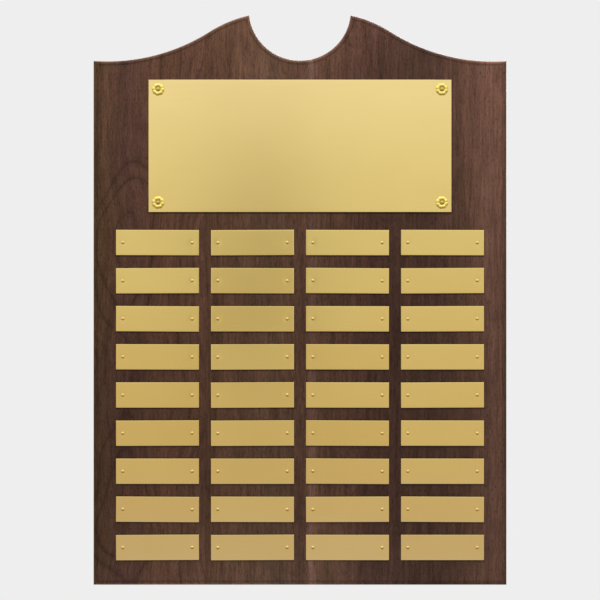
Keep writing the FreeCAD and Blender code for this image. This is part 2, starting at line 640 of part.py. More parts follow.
def make_hanger(label, across):
    """A round-ended steel strip; its origin is the centre of the keyhole's round entry."""
    hanger = named_body(label, across, "-sheet.hanger_set_back", HANGER_Z)
    sketch = new_sketch(hanger, label + "_outline")
    round_ended(sketch, "sheet.hanger_width / 2", f"-{SCREW_BELOW}", SCREW_ABOVE)
    strip = add_feature(hanger, "Pad", label + "_strip", sketch, Length="sheet.hanger_thickness")
    doc.recompute()

    sketch = new_sketch(hanger, label + "_hole_sketch")
    clear_radius = "sheet.screw_shank_diameter / 2 + sheet.screw_clearance"
    circle(sketch, "entry", "sheet.entry_radius")
    circle(sketch, "lower_screw", clear_radius, "0", f"-{SCREW_BELOW}")
    circle(sketch, "upper_screw", clear_radius, "0", SCREW_ABOVE)
    holes = add_feature(hanger, "Pocket", label + "_holes", sketch, Length="sheet.hanger_thickness")
    holes.Reversed = True
    require_cut(holes, strip)

    sketch = new_sketch(hanger, label + "_slot_sketch")
    round_ended(sketch, "sheet.slot_width / 2", "0", "sheet.slot_travel")
    slot = add_feature(hanger, "Pocket", label + "_slot", sketch, Length="sheet.hanger_thickness")
    slot.Reversed = True
    require_cut(slot, holes)

    before = slot
    for name, level in (("lower", f"-{SCREW_BELOW}"), ("upper", SCREW_ABOVE)):
        countersink = hanger.newObject("PartDesign::SubtractiveCone", f"{label}_{name}_countersink")
        countersink.AttachmentSupport = [(origin_feature(hanger, "XZ_Plane"), "")]
        countersink.MapMode = "FlatFace"
        countersink.setExpression("AttachmentOffset.Base.y", level)
        countersink.setExpression("Radius1", "sheet.screw_head_diameter / 2")
        countersink.setExpression("Radius2", "sheet.screw_shank_diameter / 2")
        countersink.setExpression("Height", "sheet.screw_head_height")
        require_cut(countersink, before)
        before = countersink
    pieces.append(hanger)


def make_hanger_screws():
    """Four flat-headed wood screws with a cross recess, each a separate solid."""
    lower_left = f"{HANGER_Z} - {SCREW_BELOW}"
    screws = named_body("hanger_screws", f"-{HANGER_X}", "-sheet.hanger_set_back", lower_left)
    shank = "sheet.screw_shank_diameter / 2"
    corners = [
        ("0", "0"),
        ("0", "-sheet.screw_length"),
        (shank, "sheet.screw_point - sheet.screw_length"),
        (shank, "-sheet.screw_head_height"),
        ("sheet.screw_head_diameter / 2", "0"),
    ]
    sketch = new_sketch(screws, "screw_profile", "XY_Plane")
    polygon(sketch, corners)
    turned = add_feature(screws, "Revolution", "screw_turned", sketch)
    turned.ReferenceAxis = (sketch, ["V_Axis"])
    turned.Angle = 360
    doc.recompute()
    before = turned
    bars = [("upright", "sheet.recess_width", "sheet.recess_length")]
    bars.append(("across", "sheet.recess_length", "sheet.recess_width"))
    recesses = []
    for name, width, height in bars:
        sketch = new_sketch(screws, f"recess_{name}_sketch")
        rectangle(sketch, width, height)
        recess = add_feature(screws, "Pocket", f"recess_{name}", sketch, Length="sheet.recess_depth")
        recess.Reversed = True
        require_cut(recess, before)
        before = recess
        recesses.append(recess)
    spacing = f"{SCREW_BELOW} + {SCREW_ABOVE}"
    grid(screws, "screw_grid", [turned, *recesses], f"2 * {HANGER_X}", 2, spacing, 2)
    pieces.append(screws)


# ---- the whole plaque ----

board = make_board()
left_edge = "-sheet.board_width / 2"
right_edge = "sheet.board_width / 2"
make_stave("stave_left", board, left_edge, "sheet.joint_left")
make_stave("stave_centre_left", board, "sheet.joint_left", "sheet.joint_middle")
make_stave("stave_centre_right", board, "sheet.joint_middle", "sheet.joint_right")
make_stave("stave_right", board, "sheet.joint_right", right_edge)
make_title_plate()
make_rosettes()
make_rosette_nails()
make_name_plates()
make_name_plate_pins()
make_hanger("keyhole_hanger_left", f"-{HANGER_X}")
make_hanger("keyhole_hanger_right", HANGER_X)
make_hanger_screws()
doc.recompute()

for item in doc.Objects:
    if "Invalid" in item.State or "Error" in item.State:
        raise ValueError(item.Name + " failed to build")
for piece in pieces:
    if piece.Shape.isNull() or not piece.Shape.isValid():
        raise ValueError(piece.Label + " has no valid shape")

os.makedirs("parts", exist_ok=True)
for piece in pieces:
    piece.Shape.exportStep(f"parts/{piece.Label}.step")
print(len(pieces), "pieces written")
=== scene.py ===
"""Perpetual award plaque: a glued-up walnut board with brass plates, pins, rosettes and steel hangers.

Everything is in metres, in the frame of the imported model: +Z up, the board faces -Y, and its flat
back is at y = 0.
"""
import math

import bmesh
import bpy
from mathutils import Matrix, Vector


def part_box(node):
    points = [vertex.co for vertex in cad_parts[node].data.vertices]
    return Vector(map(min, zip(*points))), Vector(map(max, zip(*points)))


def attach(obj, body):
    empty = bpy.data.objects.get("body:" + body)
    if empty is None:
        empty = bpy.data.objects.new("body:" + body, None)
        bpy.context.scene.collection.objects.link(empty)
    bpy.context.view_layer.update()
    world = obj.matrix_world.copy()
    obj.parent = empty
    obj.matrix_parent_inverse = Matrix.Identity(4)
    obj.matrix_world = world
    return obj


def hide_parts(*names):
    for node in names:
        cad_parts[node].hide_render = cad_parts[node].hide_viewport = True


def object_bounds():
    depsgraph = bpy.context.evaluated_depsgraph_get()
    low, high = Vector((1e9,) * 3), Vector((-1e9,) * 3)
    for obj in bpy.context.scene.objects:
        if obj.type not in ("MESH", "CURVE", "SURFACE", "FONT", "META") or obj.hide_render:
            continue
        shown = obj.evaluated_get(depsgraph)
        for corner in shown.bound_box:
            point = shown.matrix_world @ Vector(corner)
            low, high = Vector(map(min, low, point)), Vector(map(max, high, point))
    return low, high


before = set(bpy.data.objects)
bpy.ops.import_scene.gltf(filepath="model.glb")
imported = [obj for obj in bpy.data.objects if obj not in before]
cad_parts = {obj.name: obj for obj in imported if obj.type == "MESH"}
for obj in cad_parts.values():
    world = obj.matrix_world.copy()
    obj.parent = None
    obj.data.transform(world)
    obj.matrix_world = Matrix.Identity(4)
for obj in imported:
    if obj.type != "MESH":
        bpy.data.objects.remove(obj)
cad_low, cad_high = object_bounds()

MM = 0.001
STAVES = ("stave_left", "stave_centre_left", "stave_centre_right", "stave_right")
COLUMNS = 4
ROWS = 9

# The board's own sizes.
EDGE_ROUND = 3 * MM
QUIRK_DEPTH = 0.15 * MM
QUIRK_WIDTH = 1.4 * MM
BACK_ARRIS = 0.4 * MM
SHOULDER_DROP = 42.55 * MM
COVE_INSET = 12.5 * MM
TURN_RISE = 27.35 * MM
CREST_SPAN = 36.68 * MM
NOTCH_RADIUS = 47.1 * MM
NOTCH_RISE = 5.3 * MM
ROUND_STEPS = 8
COVE_STEPS = 28
CREST_STEPS = 14
NOTCH_STEPS = 56

# Brass plates, and the pins that dent them a hair as they are driven.
PLATE_BEVEL = 0.25 * MM
BRUSH_SPACING = 0.9 * MM
BRASS_ROUGHNESS = 0.12
PIN_INSET = 6.3 * MM
PIN_HEAD_RADIUS = 1.6 * MM
PIN_HEAD_HEIGHT = 1.1 * MM
PIN_SHANK_RADIUS = 0.6 * MM
DENT_DEPTH = 0.05 * MM
DENT_REACH = 2.6 * MM
TITLE_DENT_DEPTH = 0.04 * MM
TITLE_DENT_REACH = 12 * MM
PLATE_TILT = (math.radians(0.12), math.radians(0.35), math.radians(0.15))

# Rosettes and their nails. A crease between petals starts this far out from a petal's middle.
PETALS = 8
PETAL_STEPS = 10
CREASE_START = 0.35
CREASE_IN = 0.08
CREASE_DOWN = 0.2
ROSETTE_INSET = 8.85 * MM
ROSETTE_RADIUS = 5.85 * MM
ROSETTE_SEAT = 0.6 * MM
NAIL_HEAD_RADIUS = 2 * MM
NAIL_HEAD_HEIGHT = 1.28 * MM
NAIL_SHANK_RADIUS = 0.8 * MM
SHANK_SHOWN = 6 * MM
POINT_LENGTH = 1 * MM
POINT_RADIUS = 0.2 * MM
HEAD_STEPS = 6

# Steel hangers in the back.
SEAT_CLEARANCE = 0.15 * MM
SEAT_DEPTH = 2.2 * MM
POCKET_RADIUS = 6 * MM
POCKET_DEPTH = 7.2 * MM
ENTRY_RADIUS = 5 * MM
SLOT_HALF_WIDTH = 2.5 * MM
SLOT_TRAVEL = 11 * MM
SCREW_BELOW = 11.5 * MM
SCREW_ABOVE = 20 * MM
SCREW_HEAD_RADIUS = 2.8 * MM
SCREW_HEAD_HEIGHT = 1.6 * MM
SCREW_SHANK_RADIUS = 1.4 * MM
SCREW_LENGTH = 12.7 * MM
SCREW_POINT = 3 * MM
SCREW_ARRIS = 0.12 * MM
SINK_CLEARANCE = 0.12 * MM
HANGER_ARRIS = 0.25 * MM
RECESS_LENGTH = 3.2 * MM
RECESS_WIDTH = 0.8 * MM
RECESS_DEPTH = 0.9 * MM

# A cutter runs this far past the face it starts from.
CUT_PAST = 1 * MM

# Seeds of the small chances. Plates and their pins share one, so that they tilt together.
PLATE_SEED = 11
ROSETTE_SEED = 21
NAIL_SEED = 31
SCREW_SEED = 41

# Studio.
FLOOR_DROP = 0.34
CAMERA_DISTANCE = 1.5545
LENS = 100
SENSOR_WIDTH = 36


# ---- node trees ----

def linear(code):
    """Linear colour for a shader socket, from an sRGB hex value."""
    parts = [int(code[i:i + 2], 16) / 255 for i in (1, 3, 5)]
    return (*[c / 12.92 if c <= 0.04045 else ((c + 0.055) / 1.055) ** 2.4 for c in parts], 1.0)


def node(tree, kind, wires=None, stops=None, **settings):
    """Adds a node. Wires gives each input, by name or number, a socket to link or a value to hold."""
    made = tree.nodes.new(kind)
    for name, value in settings.items():
        setattr(made, name, value)
    for place, source in (wires or {}).items():
        if isinstance(source, bpy.types.NodeSocket):
            tree.links.new(source, made.inputs[place])
        else:
            made.inputs[place].default_value = source
    if stops:
        elements = made.color_ramp.elements
        elements.remove(elements[-1])
        for number, (position, colour) in enumerate(stops):
            stop = elements[0] if number == 0 else elements.new(position)
            stop.position = position
            stop.color = linear(colour) if isinstance(colour, str) else (colour, colour, colour, 1.0)
    return made


def new_material(name):
    """An empty material with its output, its Principled shader and the object's own coordinates."""
    material = bpy.data.materials.new(name)
    material.use_nodes = True
    tree = material.node_tree
    tree.nodes.clear()
    shader = node(tree, "ShaderNodeBsdfPrincipled")
    node(tree, "ShaderNodeOutputMaterial", {"Surface": shader.outputs[0]})
    place = node(tree, "ShaderNodeTexCoord").outputs["Object"]
    return material, tree, shader, place


# Broad colour of each stave from its left edge to its right, and how its growth rings lie:
# heart is the pith's place across the board and depth is how far behind the front it runs,
# cone is how fast the rings taper upwards, which sets how long the cathedral arches are,
# wander is how far the grain strays, in swells of the size given by sway (how many in a metre
# across the board and up it), and figure is how dark the late wood's lines are.
STAVE_LOOKS = {
    "stave_left": dict(
        heart=-0.158, depth=0.016, cone=0.05, ring=8.0 * MM, wander=95 * MM, sway=(7, 8), figure=0.5,
        tones=[(0.0, "#271A10"), (0.3, "#261813"), (0.62, "#291A12"), (1.0, "#2A1B14")]),
    "stave_centre_left": dict(
        heart=-0.035, depth=0.075, cone=0.03, ring=4.6 * MM, wander=22 * MM, sway=(7, 4), figure=0.22,
        tones=[(0.0, "#271911"), (0.35, "#2A1C14"), (0.7, "#2A1D15"), (1.0, "#271912")]),
    "stave_centre_right": dict(
        heart=0.30, depth=0.06, cone=0.02, ring=4.8 * MM, wander=16 * MM, sway=(7, 4), figure=0.2,
        tones=[(0.0, "#2A1C14"), (0.05, "#34241E"), (0.12, "#2D1E16"), (0.2, "#291B13"), (0.45, "#261812"),
               (0.7, "#221510"), (1.0, "#20140F")]),
    "stave_right": dict(
        heart=0.36, depth=0.05, cone=0.02, ring=4.2 * MM, wander=16 * MM, sway=(7, 4), figure=0.2,
        tones=[(0.0, "#21150F"), (0.3, "#211510"), (0.6, "#291B14"), (0.85, "#34231C"), (1.0, "#33221A")]),
}


def walnut(name, low, high, seed, heart, depth, cone, ring, wander, sway, figure, tones):
    """Black walnut, planed, sanded and sprayed with satin lacquer.

    Fine dark fibres and short open pores run up the board, growth rings show as lines or arches,
    a faint curl crosses them, and the lacquer gives a soft sheen. Pores are drawn about twice as
    coarse as real ones so that they show.
    """
    material, tree, shader, place = new_material(name)
    axes = node(tree, "ShaderNodeSeparateXYZ", {"Vector": place}).outputs

    def streaks(vector, across, along, **settings):
        """Noise with so many streaks to a metre across the board and along it."""
        scaled = node(tree, "ShaderNodeMapping", {
            "Vector": vector, "Scale": (across, across, along),
            "Location": (0.37 * seed, 0.71 * seed, 0.53 * seed)})
        noise = node(tree, "ShaderNodeTexNoise", {"Vector": scaled.outputs[0], "Scale": 1.0, **settings})
        return noise.outputs[0]

    drift = streaks(place, *sway, Detail=1.5)
    drift = node(tree, "ShaderNodeMath", {0: drift, 1: 0.5}, operation="SUBTRACT").outputs[0]

    # growth rings: distance from the pith, tapering upwards
    out_x = node(tree, "ShaderNodeMath", {0: axes["X"], 1: heart}, operation="SUBTRACT").outputs[0]
    out_y = node(tree, "ShaderNodeMath", {0: axes["Y"], 1: low.y + depth}, operation="SUBTRACT").outputs[0]
    square = node(tree, "ShaderNodeMath", {0: out_x, 1: out_x}, operation="MULTIPLY").outputs[0]
    total = node(tree, "ShaderNodeMath", {0: out_y, 1: out_y, 2: square},
                 operation="MULTIPLY_ADD").outputs[0]
    radius = node(tree, "ShaderNodeMath", {0: total}, operation="SQRT").outputs[0]
    radius = node(tree, "ShaderNodeMath", {0: axes["Z"], 1: cone, 2: radius},
                  operation="MULTIPLY_ADD").outputs[0]
    radius = node(tree, "ShaderNodeMath", {0: drift, 1: wander, 2: radius},
                  operation="MULTIPLY_ADD").outputs[0]
    count = node(tree, "ShaderNodeMath", {0: radius, 1: ring}, operation="DIVIDE").outputs[0]
    phase = node(tree, "ShaderNodeMath", {0: count}, operation="FRACT").outputs[0]
    late = node(tree, "ShaderNodeValToRGB", {"Fac": phase},
                stops=[(0.0, 1.0), (0.08, 0.4), (0.3, 0.08), (0.6, 0.0), (0.88, 0.35), (1.0, 1.0)])

    # each year's line is its own strength
    year = node(tree, "ShaderNodeMath", {0: phase, 1: 0.5}, operation="GREATER_THAN").outputs[0]
    year = node(tree, "ShaderNodeMath", {0: count, 1: year}, operation="ADD").outputs[0]
    year = node(tree, "ShaderNodeMath", {0: year}, operation="FLOOR").outputs[0]
    strength = node(tree, "ShaderNodeTexWhiteNoise", {"W": year}, noise_dimensions="1D").outputs["Value"]
    line = node(tree, "ShaderNodeMath", {0: late.outputs[0], 1: strength}, operation="MULTIPLY").outputs[0]

    # fibres and pores lie along the board and bend with the grain
    bent = node(tree, "ShaderNodeMath", {0: drift, 1: wander * 0.35, 2: axes["X"]},
                operation="MULTIPLY_ADD").outputs[0]
    along = node(tree, "ShaderNodeCombineXYZ", {"X": bent, "Y": axes["Y"], "Z": axes["Z"]}).outputs[0]
    broad = streaks(along, 150, 6, Detail=3.0)
    fine = streaks(along, 560, 45, Detail=4.0, Roughness=0.65)
    pore = streaks(along, 1300, 260, Detail=1.0)
    pores = node(tree, "ShaderNodeValToRGB", {"Fac": pore}, stops=[(0.36, 0.0), (0.46, 1.0)]).outputs[0]
    patch = streaks(along, 26, 7, Detail=2.0)
    curl = streaks(place, 38, 48, Detail=2.0, Distortion=0.8)

    # painted highlight and shade by which way a face turns: the rounding and the sides are painted lighter,
    # and a painted shade line runs where the rounding and its quirk meet the face
    normal = node(tree, "ShaderNodeNewGeometry").outputs["True Normal"]
    facing = node(tree, "ShaderNodeSeparateXYZ", {"Vector": normal}).outputs["Y"]
    facing = node(tree, "ShaderNodeMath", {0: facing}, operation="ABSOLUTE").outputs[0]
    edge = node(tree, "ShaderNodeValToRGB", {"Fac": facing},
                stops=[(0.0, 0.85), (0.7, 0.62), (0.9, 0.48), (0.96, 0.36), (0.99, 0.34), (0.9995, 0.5)])

    # broad colour across the stave, with each pattern's least and most brightness laid over it
    share = node(tree, "ShaderNodeMapRange", {"Value": bent, "From Min": low.x, "From Max": high.x})
    tone = node(tree, "ShaderNodeValToRGB", {"Fac": share.outputs[0]}, stops=tones)
    # the first pattern is the painted highlight and shade of the routed edge
    patterns = ((edge.outputs[0], 0.0, 2.0), (line, 1.04, 1.04 - figure), (broad, 0.55, 1.45),
                (fine, 0.2, 1.8), (pores, 0.7, 1.04), (patch, 0.75, 1.25), (curl, 0.8, 1.2))
    bright = 1.0
    for pattern, least, most in patterns:
        factor = node(tree, "ShaderNodeMapRange", {"Value": pattern, "To Min": least, "To Max": most})
        bright = node(tree, "ShaderNodeMath", {0: bright, 1: factor.outputs[0]},
                      operation="MULTIPLY").outputs[0]
    colour = node(tree, "ShaderNodeMix", {0: 1.0, 6: tone.outputs[0], 7: bright}, data_type="RGBA",
                  blend_type="MULTIPLY")
    tree.links.new(colour.outputs[2], shader.inputs["Base Color"])

    sheen = node(tree, "ShaderNodeMapRange", {"Value": fine, "To Min": 0.62, "To Max": 0.48})
    tree.links.new(sheen.outputs[0], shader.inputs["Roughness"])
    shader.inputs["Specular IOR Level"].default_value = 0.09
    height = node(tree, "ShaderNodeMath", {0: pores, 1: fine}, operation="ADD").outputs[0]
    bump = node(tree, "ShaderNodeBump", {"Height": height, "Strength": 0.35, "Distance": 0.05 * MM})
    tree.links.new(bump.outputs[0], shader.inputs["Normal"])
    return material


def brushed_brass(name, base, aged, seed):
    """Engraver's sheet brass, brushed along its length and lacquered.

    Fine level scratches stretch the reflections a little, and the tone drifts slightly over the sheet.
    """
    material, tree, shader, place = new_material(name)
    scratch = node(tree, "ShaderNodeMapping", {
        "Vector": place, "Scale": (14, 1, 1 / BRUSH_SPACING), "Location": (seed, 0, 0)})
    scratch = node(tree, "ShaderNodeTexNoise", {
        "Vector": scratch.outputs[0], "Scale": 1.0, "Detail": 3.0, "Roughness": 0.7}).outputs[0]
    cloud = node(tree, "ShaderNodeMapping", {
        "Vector": place, "Scale": (17, 1, 23), "Location": (0, 0, seed)})
    cloud = node(tree, "ShaderNodeTexNoise", {
        "Vector": cloud.outputs[0], "Scale": 1.0, "Detail": 2.0}).outputs[0]
    each = node(tree, "ShaderNodeAttribute", attribute_name="tone", attribute_type="GEOMETRY")
    age = node(tree, "ShaderNodeMath", {0: scratch, 1: 0.45, 2: each.outputs["Fac"]},
               operation="MULTIPLY_ADD").outputs[0]
    age = node(tree, "ShaderNodeMath", {0: cloud, 1: 0.55, 2: age}, operation="MULTIPLY_ADD").outputs[0]
    share = node(tree, "ShaderNodeMapRange", {"Value": age, "From Min": 0.25, "From Max": 0.9})
    colour = node(tree, "ShaderNodeMix", {0: share.outputs[0], 6: linear(base), 7: linear(aged)},
                  data_type="RGBA")
    tree.links.new(colour.outputs[2], shader.inputs["Base Color"])
    shader.inputs["Metallic"].default_value = 1.0
    gloss = node(tree, "ShaderNodeMapRange", {
        "Value": scratch, "To Min": BRASS_ROUGHNESS * 0.8, "To Max": BRASS_ROUGHNESS * 1.2})
    tree.links.new(gloss.outputs[0], shader.inputs["Roughness"])
    bump = node(tree, "ShaderNodeBump", {"Height": scratch, "Strength": 0.12, "Distance": 0.02 * MM})
    tree.links.new(bump.outputs[0], shader.inputs["Normal"])
    return material


def formed_metal(name, base, worn, roughness, grain):
    """A small pressed or headed metal part: bright, with fine handling marks and dull patches."""
    material, tree, shader, place = new_material(name)
    mottle = node(tree, "ShaderNodeTexNoise", {
        "Vector": place, "Scale": 1 / grain, "Detail": 4.0, "Roughness": 0.6}).outputs[0]
    colour = node(tree, "ShaderNodeMix", {0: mottle, 6: linear(base), 7: linear(worn)}, data_type="RGBA")
    tree.links.new(colour.outputs[2], shader.inputs["Base Color"])
    shader.inputs["Metallic"].default_value = 1.0
    gloss = node(tree, "ShaderNodeMapRange", {
        "Value": mottle, "To Min": roughness * 0.7, "To Max": roughness * 1.3})
    tree.links.new(gloss.outputs[0], shader.inputs["Roughness"])
    bump = node(tree, "ShaderNodeBump", {"Height": mottle, "Strength": 0.25, "Distance": 0.03 * MM})
    tree.links.new(bump.outputs[0], shader.inputs["Normal"])
    return material


# ---- mesh ----

def arc(centre, radius, first, last, steps):
    """Points along an arc in (across, up), angles in radians, both ends included."""
    turns = [first + (last - first) * step / steps for step in range(steps + 1)]
    return [(centre[0] + radius * math.cos(turn), centre[1] + radius * math.sin(turn)) for turn in turns]


def inset(outline, distance):
    """An anticlockwise outline moved inwards, with mitred corners."""
    moved = []
    for index, (x, z) in enumerate(outline):
        before = Vector((x, z)) - Vector(outline[index - 1])
        after = Vector(outline[(index + 1) % len(outline)]) - Vector((x, z))
        first = Vector((-before.y, before.x)).normalized()
        second = Vector((-after.y, after.x)).normalized()
        shift = (first + second) * (distance / (1 + first.dot(second)))
        moved.append((x + shift.x, z + shift.y))
    return moved


def loft(loops, name):
    """A closed shell through loops of equal length.

    A loop is an outline in (across, up) with one y for all of it, or a list of them.
    """
    shell = bmesh.new()
    rings = []
    for outline, level in loops:
        levels = level if isinstance(level, list) else [level] * len(outline)
        rings.append([shell.verts.new((x, y, z)) for (x, z), y in zip(outline, levels)])
    size = len(rings[0])
    for lower, upper in zip(rings, rings[1:]):
        for i in range(size):
            shell.faces.new((lower[i], lower[(i + 1) % size], upper[(i + 1) % size], upper[i]))
    shell.faces.new(rings[0][::-1])
    shell.faces.new(rings[-1])
    bmesh.ops.recalc_face_normals(shell, faces=shell.faces)
    return to_object(shell, name)


def to_object(shell, name):
    """Puts a finished shell into the scene as an object at the origin."""
    mesh = bpy.data.meshes.new(name)
    shell.to_mesh(mesh)
    shell.free()
    made = bpy.data.objects.new(name, mesh)
    bpy.context.scene.collection.objects.link(made)
    return made


def settle(thing, crease=35.0):
    """Applies a piece's modifiers, with smooth faces that stay crisp at its edges."""
    for face in thing.data.polygons:
        face.use_smooth = True
    weighted = thing.modifiers.new("weighted", "WEIGHTED_NORMAL")
    weighted.keep_sharp = True
    graph = bpy.context.evaluated_depsgraph_get()
    thing.data.set_sharp_from_angle(angle=math.radians(crease))
    graph.update()
    mesh = bpy.data.meshes.new_from_object(thing.evaluated_get(graph), preserve_all_data_layers=True,
                                           depsgraph=graph)
    thing.modifiers.clear()
    thing.data = mesh
    return thing


def cut(thing, cutter):
    """Takes the cutter's shape out of a piece."""
    boolean = thing.modifiers.new("cut", "BOOLEAN")
    boolean.operation = "DIFFERENCE"
    boolean.solver = "EXACT"
    boolean.object = cutter
    graph = bpy.context.evaluated_depsgraph_get()
    graph.update()
    mesh = bpy.data.meshes.new_from_object(thing.evaluated_get(graph), depsgraph=graph)
    thing.modifiers.clear()
    thing.data = mesh
    bpy.data.objects.remove(cutter)


def finish(thing, material, slot, *nodes):
    """Gives a piece its finish and its place on the plaque's one body."""
    thing.data.materials.clear()
    thing.data.materials.append(material)
    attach(thing, "root")
    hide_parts(*nodes)


# ---- the board ----

def board_outline():
    """The board from the front, anticlockwise from its lower left corner."""
    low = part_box("stave_left")[0]
    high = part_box("stave_right")[1]
    half_width = high.x
    top = max(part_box(name)[1].z for name in STAVES)
    peak = Vector((math.sqrt(NOTCH_RADIUS ** 2 - NOTCH_RISE ** 2), top))
    cove_x = half_width - COVE_INSET
    span = cove_x - CREST_SPAN - peak.x
    cove_radius = (span ** 2 + TURN_RISE ** 2) / (2 * TURN_RISE)
    cove = Vector((cove_x, top - SHOULDER_DROP + cove_radius))
    turn = Vector((peak.x + CREST_SPAN, cove.y - cove_radius + TURN_RISE))
    outward = (turn - cove).normalized()
    chord = peak - turn
    crest_radius = chord.dot(chord) / (2 * chord.dot(outward))
    crest = turn + outward * crest_radius
    shoulder = cove.y - math.sqrt(cove_radius ** 2 - COVE_INSET ** 2)

    def angle(centre, point):
        """Which way a point lies from a centre, in radians."""
        return math.atan2(point[1] - centre[1], point[0] - centre[0])

    turn_angle = angle(cove, turn)
    # the points next to a corner are left out, so that the rounding can be mitred there
    cove_arc = arc(cove, cove_radius, angle(cove, (half_width, shoulder)), turn_angle, COVE_STEPS)
    crest_arc = arc(crest, crest_radius, angle(crest, turn), angle(crest, peak), CREST_STEPS)
    right = cove_arc[:1] + cove_arc[2:] + crest_arc[1:-3] + crest_arc[-1:]
    notch_end = math.asin(NOTCH_RISE / NOTCH_RADIUS)
    notch_centre = (0, top + NOTCH_RISE)
    notch = arc(notch_centre, NOTCH_RADIUS, -notch_end, notch_end - math.pi, NOTCH_STEPS)[3:-3]
    left = [(-x, z) for x, z in reversed(right)]
    return [(-half_width, low.z), (half_width, low.z)] + right + notch + left


def make_board():
    """The board's shell: flat back with an eased arris, square sides and a rounded front edge.

    The router leaves a hair-fine groove, the quirk, where the rounding meets the face.
    """
    outline = board_outline()
    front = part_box("stave_left")[0].y
    loops = [(inset(outline, BACK_ARRIS), 0.0), (outline, -BACK_ARRIS)]
    for step in range(ROUND_STEPS + 1):
        turn = math.pi / 2 * step / ROUND_STEPS
        level = front + EDGE_ROUND * (1 - math.sin(turn))
        loops.append((inset(outline, EDGE_ROUND * (1 - math.cos(turn))), level))
    loops.append((inset(outline, EDGE_ROUND + 0.4 * QUIRK_WIDTH), front + QUIRK_DEPTH))
    loops.append((inset(outline, EDGE_ROUND + QUIRK_WIDTH), front))
    return loft(loops, "board_blank")


def saw_stave(board, name):
    """The part of the board between this stave's two upright planes."""
    low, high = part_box(name)
    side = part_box("stave_right")[1].x
    shell = bmesh.new()
    shell.from_mesh(board.data)
    for x, way in ((low.x, -1), (high.x, 1)):
        # the board's own sides aren't sawn
        if abs(abs(x) - side) < 0.1 * MM:
            continue
        everything = shell.verts[:] + shell.edges[:] + shell.faces[:]
        sawn = bmesh.ops.bisect_plane(shell, geom=everything, plane_co=(x, 0, 0), plane_no=(way, 0, 0),
                                      clear_outer=True)
        rim = [item for item in sawn["geom_cut"] if isinstance(item, bmesh.types.BMEdge)]
        bmesh.ops.holes_fill(shell, edges=rim, sides=0)
    bmesh.ops.recalc_face_normals(shell, faces=shell.faces)
    return to_object(shell, "walnut_" + name)


def round_ended(half_width, low, high, x, steps=16):
    """The outline of an upright strip with round ends; low and high are the centres of its ends."""
    lower = arc((x, low), half_width, -math.pi, 0, steps)
    upper = arc((x, high), half_width, 0, math.pi, steps)
    return lower + upper


def hanger_places():
    """Keyhole centre of each hanger: across and up."""
    places = []
    for side in ("left", "right"):
        low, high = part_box("keyhole_hanger_" + side)
        places.append((side, (low.x + high.x) / 2, low.z + (high.x - low.x) / 2 + SCREW_BELOW))
    return places


def rout_seat(stave, x, z, half_width):
    """The hanger's recess in the back, and the pocket behind its keyhole for a screw head."""
    seat = round_ended(half_width + SEAT_CLEARANCE, z - SCREW_BELOW, z + SCREW_ABOVE, x)
    cut(stave, loft([(seat, CUT_PAST), (seat, -SEAT_DEPTH)], "seat"))
    pocket = round_ended(POCKET_RADIUS, z, z + SLOT_TRAVEL, x)
    cut(stave, loft([(pocket, CUT_PAST), (pocket, -POCKET_DEPTH)], "pocket"))


def make_staves():
    """Four staves sawn from the board's shell, the outer two routed for their hangers."""
    board = make_board()
    staves = {name: saw_stave(board, name) for name in STAVES}
    bpy.data.objects.remove(board)
    for side, x, z in hanger_places():
        low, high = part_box("keyhole_hanger_" + side)
        rout_seat(staves["stave_" + side], x, z, (high.x - low.x) / 2)
    for seed, name in enumerate(STAVES, start=1):
        low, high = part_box(name)
        settle(staves[name])
        wood = walnut("lacquered_walnut_" + name, low, high, seed, **STAVE_LOOKS[name])
        finish(staves[name], wood, "walnut", name)


# ---- brass plates ----

def sheet_plate(name, across, upright, thickness, dent=None):
    """A sheet standing on its back at y = 0, with a rolled front edge.

    Across and upright are the places of its grid lines, and dent gives how far a place is pushed back.
    """
    shell = bmesh.new()
    grid = []
    for x in across:
        column = [shell.verts.new((x, (dent(x, z) if dent else 0.0) - thickness, z)) for z in upright]
        grid.append(column)
    for left, right in zip(grid, grid[1:]):
        for i in range(len(upright) - 1):
            shell.faces.new((left[i], right[i], right[i + 1], left[i + 1]))
    rim = grid_rim(len(across), len(upright))
    inner = [grid[i][j] for i, j in rim]
    outward = [((i == len(across) - 1) - (i == 0), (j == len(upright) - 1) - (j == 0)) for i, j in rim]
    steps = [(math.sin(turn) * PLATE_BEVEL, (1 - math.cos(turn)) * PLATE_BEVEL - thickness)
             for turn in (math.pi / 6, math.pi / 3, math.pi / 2)]
    steps.append((PLATE_BEVEL, 0.0))
    for reach, level in steps:
        outer = [shell.verts.new((vert.co.x, level, vert.co.z)) for vert in inner]
        for vert, (i, j), (side, end) in zip(outer, rim, outward):
            vert.co.x = across[i] + side * reach
            vert.co.z = upright[j] + end * reach
        for k in range(len(rim)):
            after = (k + 1) % len(rim)
            shell.faces.new((inner[k], outer[k], outer[after], inner[after]))
        inner = outer
    shell.faces.new(inner)
    bmesh.ops.recalc_face_normals(shell, faces=shell.faces)
    return to_object(shell, name)


def grid_rim(columns, rows):
    """Grid places round the border, once each, in order."""
    rim = [(i, 0) for i in range(columns)]
    rim += [(columns - 1, j) for j in range(1, rows)]
    rim += [(i, rows - 1) for i in range(columns - 2, -1, -1)]
    rim += [(0, j) for j in range(rows - 2, 0, -1)]
    return rim


def spaced(low, high, count):
    """Places from low to high, both included, with this many equal gaps."""
    return [low + (high - low) * i / count for i in range(count + 1)]


